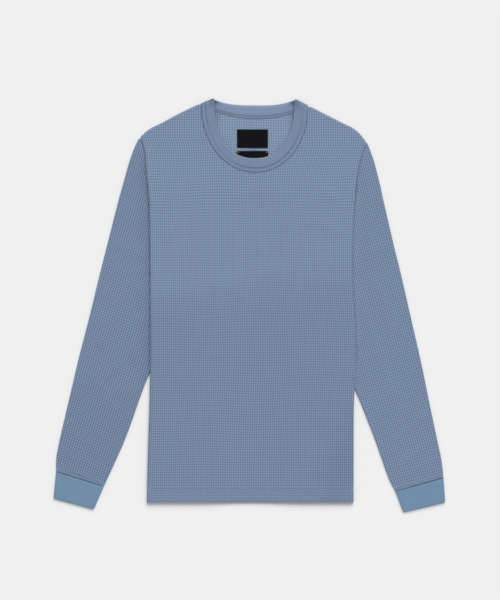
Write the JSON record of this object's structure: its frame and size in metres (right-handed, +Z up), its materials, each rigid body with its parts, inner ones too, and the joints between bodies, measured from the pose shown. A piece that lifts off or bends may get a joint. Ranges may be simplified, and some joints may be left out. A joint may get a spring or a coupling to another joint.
{
  "type": "thermal top",
  "caption": "Long-sleeved waffle-knit thermal top with a ribbed crew neck and ribbed cuffs, laid flat with its sides folded under.",
  "frame": {"origin": "centre of the garment's outline, on the surface it lies on", "axes": "+Z up out of the front of the garment, +Y towards the neck, +X towards the wearer's left sleeve"},
  "size_m": [0.6892, 0.7276, 0.0069],
  "materials": {
    "waffle": "matte dusty blue waffle knit",
    "rib": "matte dusty blue fine rib knit",
    "label": "black woven satin, bare"
  },
  "bodies": {
    "root": {"front": "waffle", "back": "waffle", "sleeve_left": "waffle", "sleeve_right": "waffle", "cuff_left": "rib", "cuff_right": "rib", "neckband": "rib", "neck_label": "label", "size_label": "label"}
  },
  "joints": []
}
